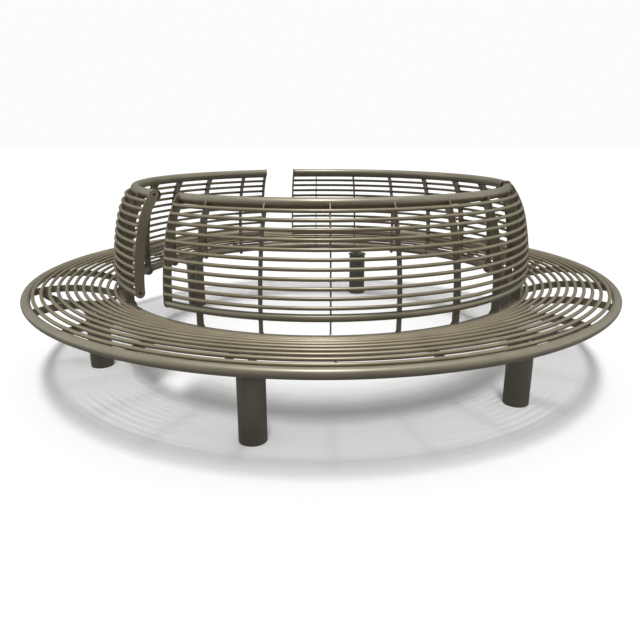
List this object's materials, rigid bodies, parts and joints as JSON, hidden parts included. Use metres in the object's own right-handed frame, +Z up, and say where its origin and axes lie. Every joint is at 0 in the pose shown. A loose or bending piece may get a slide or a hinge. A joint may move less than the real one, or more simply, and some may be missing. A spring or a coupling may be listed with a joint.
{
  "type": "tree bench",
  "caption": "Round slatted seat of bent steel rods on tubular legs, with curved outward-facing rod backrests round an open central well for a tree trunk.",
  "frame": {"origin": "centre of the open well, on the ground plane", "axes": "+Z up; -Y towards the side that the picture looks at; +X to the right as seen from there"},
  "size_m": [3.0498, 3.05, 0.9259],
  "materials": {
    "powder_coat": "satin bronze metallic powder coat on steel",
    "sleeve_steel": "bare steel sleeve, hidden inside the ring tubes"
  },
  "bodies": {
    "root": {"outer_ring_a": "powder_coat", "inner_ring_a": "powder_coat", "top_rail_a": "powder_coat", "bottom_rail_a": "powder_coat", "outer_ring_b": "powder_coat", "inner_ring_b": "powder_coat", "top_rail_b": "powder_coat", "bottom_rail_b": "powder_coat", "outer_ring_c": "powder_coat", "inner_ring_c": "powder_coat", "top_rail_c": "powder_coat", "bottom_rail_c": "powder_coat", "seat_rods_a": "powder_coat", "back_rods_a": "powder_coat", "seat_rods_b": "powder_coat", "back_rods_b": "powder_coat", "seat_rods_c": "powder_coat", "back_rods_c": "powder_coat", "seat_ribs_a": "powder_coat", "seam_rib_a": "powder_coat", "seat_ribs_b": "powder_coat", "seam_rib_b": "powder_coat", "seat_ribs_c": "powder_coat", "seam_rib_c": "powder_coat", "end_plate_a_first": "powder_coat", "end_plate_a_last": "powder_coat", "end_plate_b_first": "powder_coat", "end_plate_b_last": "powder_coat", "end_plate_c_first": "powder_coat", "end_plate_c_last": "powder_coat", "seam_spigots_a": "sleeve_steel", "seam_spigots_b": "sleeve_steel", "seam_spigots_c": "sleeve_steel", "leg_tube_1": "powder_coat", "leg_cap_1": "powder_coat", "leg_cradle_1": "powder_coat", "foot_disc_1": "powder_coat", "leg_tube_2": "powder_coat", "leg_cap_2": "powder_coat", "leg_cradle_2": "powder_coat", "foot_disc_2": "powder_coat", "leg_tube_3": "powder_coat", "leg_cap_3": "powder_coat", "leg_cradle_3": "powder_coat", "foot_disc_3": "powder_coat", "leg_tube_4": "powder_coat", "leg_cap_4": "powder_coat", "leg_cradle_4": "powder_coat", "foot_disc_4": "powder_coat", "leg_tube_5": "powder_coat", "leg_cap_5": "powder_coat", "leg_cradle_5": "powder_coat", "foot_disc_5": "powder_coat", "leg_tube_6": "powder_coat", "leg_cap_6": "powder_coat", "leg_cradle_6": "powder_coat", "foot_disc_6": "powder_coat"}
  },
  "joints": []
}
